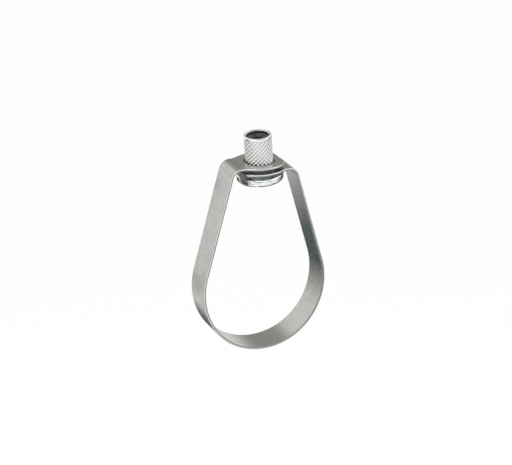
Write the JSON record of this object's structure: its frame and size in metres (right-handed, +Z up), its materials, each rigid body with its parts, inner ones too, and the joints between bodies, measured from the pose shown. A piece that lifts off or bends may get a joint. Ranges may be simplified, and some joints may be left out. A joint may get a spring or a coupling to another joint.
{
  "type": "swivel ring hanger",
  "caption": "Pear-shaped strap hanger that carries a pipe under a threaded rod: a bent steel ring with two overlapping eared plates that swivels on a flanged, knurled nut.",
  "frame": {"origin": "on the swivel axis, at the top face of the upper plate, where the nut's thread axis crosses it", "axes": "+Z up along the swivel axis, away from the pipe; Y along the pipe; X across the ring, the upper plate coming from -X"},
  "size_m": [0.0644, 0.023, 0.1107],
  "materials": {
    "galvanised_steel": "matte galvanised strip with fine grain",
    "plated_steel": "bright zinc plating on a turned and knurled nut"
  },
  "bodies": {
    "nut": {"swivel_nut": "plated_steel"},
    "ring": {"ring_band": "galvanised_steel"}
  },
  "joints": [
    {"name": "ring_swivel", "type": "hinge", "parent": "nut", "child": "ring", "pos_m": [0, 0, 0], "axis": [0, 0, 1], "continuous": true}
  ]
}
